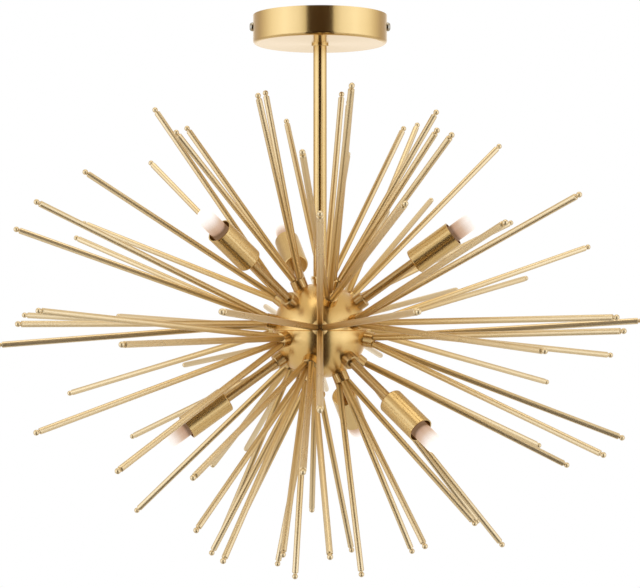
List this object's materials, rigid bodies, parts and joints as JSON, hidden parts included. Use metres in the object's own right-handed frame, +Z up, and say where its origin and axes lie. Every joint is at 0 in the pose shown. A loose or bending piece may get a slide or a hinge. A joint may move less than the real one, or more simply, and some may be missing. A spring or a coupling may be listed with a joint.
{
  "type": "semi-flush ceiling light",
  "caption": "Starburst ceiling light: a round canopy and short stem carry a ball hub bristling with splayed brass rods, with capsule lamps in tubular sleeves between them.",
  "frame": {"origin": "centre of the canopy on the ceiling plane", "axes": "+Z up into the ceiling, the stem hangs along -Z, -Y faces the viewer of the picture"},
  "size_m": [0.5702, 0.5629, 0.5004],
  "materials": {
    "satin_brass": "satin brushed brass",
    "plated_steel": "zinc plated",
    "holder_ceramic": "unglazed white ceramic",
    "bulb_glass": "clear",
    "pin_wire": "bright wire",
    "connector_plastic": "moulded",
    "lead_sheath": "smooth sheath"
  },
  "bodies": {
    "fixture": {"canopy_screws": "satin_brass", "canopy_shell": "satin_brass", "ceiling_strap": "plated_steel", "earth_screw": "plated_steel", "hub_connector": "connector_plastic", "hub_lower_shell": "satin_brass", "hub_nuts": "plated_steel", "hub_pipe": "plated_steel", "hub_stirrup": "plated_steel", "hub_upper_shell": "satin_brass", "lamp_arms_lower": "satin_brass", "lamp_arms_upper": "satin_brass", "lamp_boss_nuts": "plated_steel", "lamp_bosses": "satin_brass", "lamp_holder_1": "holder_ceramic", "lamp_holder_2": "holder_ceramic", "lamp_holder_3": "holder_ceramic", "lamp_holder_4": "holder_ceramic", "lamp_holder_5": "holder_ceramic", "lamp_holder_6": "holder_ceramic", "lamp_leads": "lead_sheath", "lamp_nipples": "plated_steel", "lamp_sleeve_1": "satin_brass", "lamp_sleeve_2": "satin_brass", "lamp_sleeve_3": "satin_brass", "lamp_sleeve_4": "satin_brass", "lamp_sleeve_5": "satin_brass", "lamp_sleeve_6": "satin_brass", "rod_boss_nuts": "plated_steel", "rod_bosses": "satin_brass", "rods_equator": "satin_brass", "rods_high_lower": "satin_brass", "rods_high_upper": "satin_brass", "rods_low_lower": "satin_brass", "rods_low_upper": "satin_brass", "rods_mid_lower": "satin_brass", "rods_mid_upper": "satin_brass", "stem_collar": "satin_brass", "stem_coupler": "satin_brass", "stem_lead": "lead_sheath", "stem_nipple": "plated_steel", "stem_nut": "plated_steel", "stem_tube": "satin_brass", "stem_washer": "plated_steel", "terminal_block": "connector_plastic", "tie_rod": "plated_steel"},
    "finial": {"finial": "satin_brass"},
    "bulb_1": {"bulb_glass_1": "bulb_glass", "bulb_pins_1": "pin_wire"},
    "bulb_2": {"bulb_glass_2": "bulb_glass", "bulb_pins_2": "pin_wire"},
    "bulb_3": {"bulb_glass_3": "bulb_glass", "bulb_pins_3": "pin_wire"},
    "bulb_4": {"bulb_glass_4": "bulb_glass", "bulb_pins_4": "pin_wire"},
    "bulb_5": {"bulb_glass_5": "bulb_glass", "bulb_pins_5": "pin_wire"},
    "bulb_6": {"bulb_glass_6": "bulb_glass", "bulb_pins_6": "pin_wire"}
  },
  "joints": [
    {"name": "finial_turn", "type": "hinge", "parent": "fixture", "child": "finial", "pos_m": [0, 0, -0.3244], "axis": [0, 0, 1], "continuous": true},
    {"name": "bulb_1_pull", "type": "slide", "parent": "fixture", "child": "bulb_1", "axis": [0.7912, -0.212, 0.5736], "range_m": [0, 0.012]},
    {"name": "bulb_2_pull", "type": "slide", "parent": "fixture", "child": "bulb_2", "axis": [-0.212, 0.7912, 0.5736], "range_m": [0, 0.012]},
    {"name": "bulb_3_pull", "type": "slide", "parent": "fixture", "child": "bulb_3", "axis": [-0.5792, -0.5792, 0.5736], "range_m": [0, 0.012]},
    {"name": "bulb_4_pull", "type": "slide", "parent": "fixture", "child": "bulb_4", "axis": [-0.7912, -0.212, -0.5736], "range_m": [0, 0.012]},
    {"name": "bulb_5_pull", "type": "slide", "parent": "fixture", "child": "bulb_5", "axis": [0.212, 0.7912, -0.5736], "range_m": [0, 0.012]},
    {"name": "bulb_6_pull", "type": "slide", "parent": "fixture", "child": "bulb_6", "axis": [0.5792, -0.5792, -0.5736], "range_m": [0, 0.012]}
  ]
}
